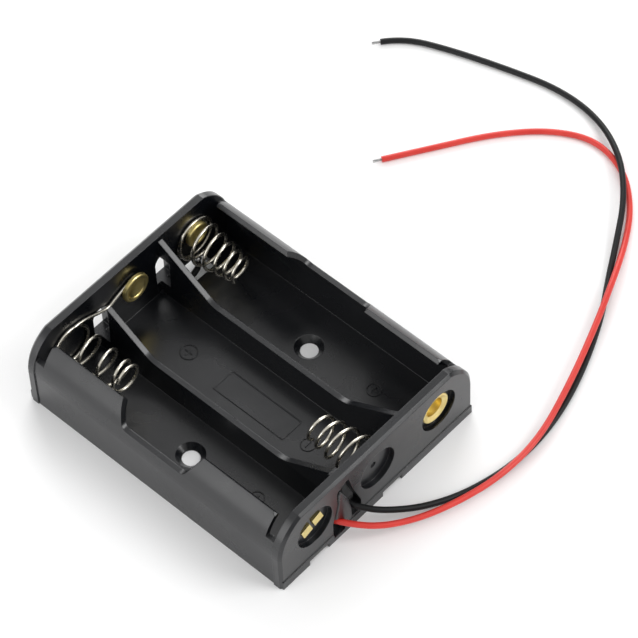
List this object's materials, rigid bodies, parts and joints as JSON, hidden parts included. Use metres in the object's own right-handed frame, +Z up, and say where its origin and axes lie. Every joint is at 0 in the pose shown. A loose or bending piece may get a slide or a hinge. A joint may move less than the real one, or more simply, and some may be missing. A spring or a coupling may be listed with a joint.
{
  "type": "cylindrical cell holder",
  "caption": "Open moulded tray for side-by-side cylindrical cells, with coil spring and brass contacts, screw holes in its floor and a red and a black flying lead.",
  "frame": {"origin": "centre of the holder's footprint, on the surface that it stands on", "axes": "+X along the cells towards the end wall where the leads leave, +Y across the bays from bay one to bay three, +Z up"},
  "size_m": [0.0796, 0.1093, 0.0158],
  "materials": {
    "housing": "satin moulded black plastic",
    "contact_brass": "pressed brass",
    "spring_wire": "nickel plated spring wire",
    "black_insulation": "soft extruded insulation",
    "red_insulation": "soft extruded insulation",
    "tinned_wire": "tinned copper strands",
    "solder": "solder"
  },
  "bodies": {
    "holder": {"housing": "housing", "contact_bay_one": "contact_brass", "contact_bay_two": "contact_brass", "contact_bay_three": "contact_brass", "rivet_bay_three": "contact_brass", "black_lead": "black_insulation", "red_lead": "red_insulation", "black_lead_inner": "black_insulation", "red_lead_inner": "red_insulation", "black_lead_tip": "tinned_wire", "red_lead_tip": "tinned_wire", "black_solder_joint": "solder", "red_solder_joint": "solder"},
    "spring_one": {"spring_bay_one": "spring_wire"},
    "spring_two": {"spring_bay_two": "spring_wire"},
    "spring_three": {"spring_bay_three": "spring_wire"}
  },
  "joints": [
    {"name": "spring_one_press", "type": "slide", "parent": "holder", "child": "spring_one", "axis": [-1, 0, 0], "range_m": [0, 0.01], "stiffness_N_per_m": 250, "deforming": ["spring_bay_one"]},
    {"name": "spring_two_press", "type": "slide", "parent": "holder", "child": "spring_two", "axis": [1, 0, 0], "range_m": [0, 0.0085], "stiffness_N_per_m": 250, "deforming": ["spring_bay_two"]},
    {"name": "spring_three_press", "type": "slide", "parent": "holder", "child": "spring_three", "axis": [-1, 0, 0], "range_m": [0, 0.0085], "stiffness_N_per_m": 250, "deforming": ["spring_bay_three"]}
  ]
}
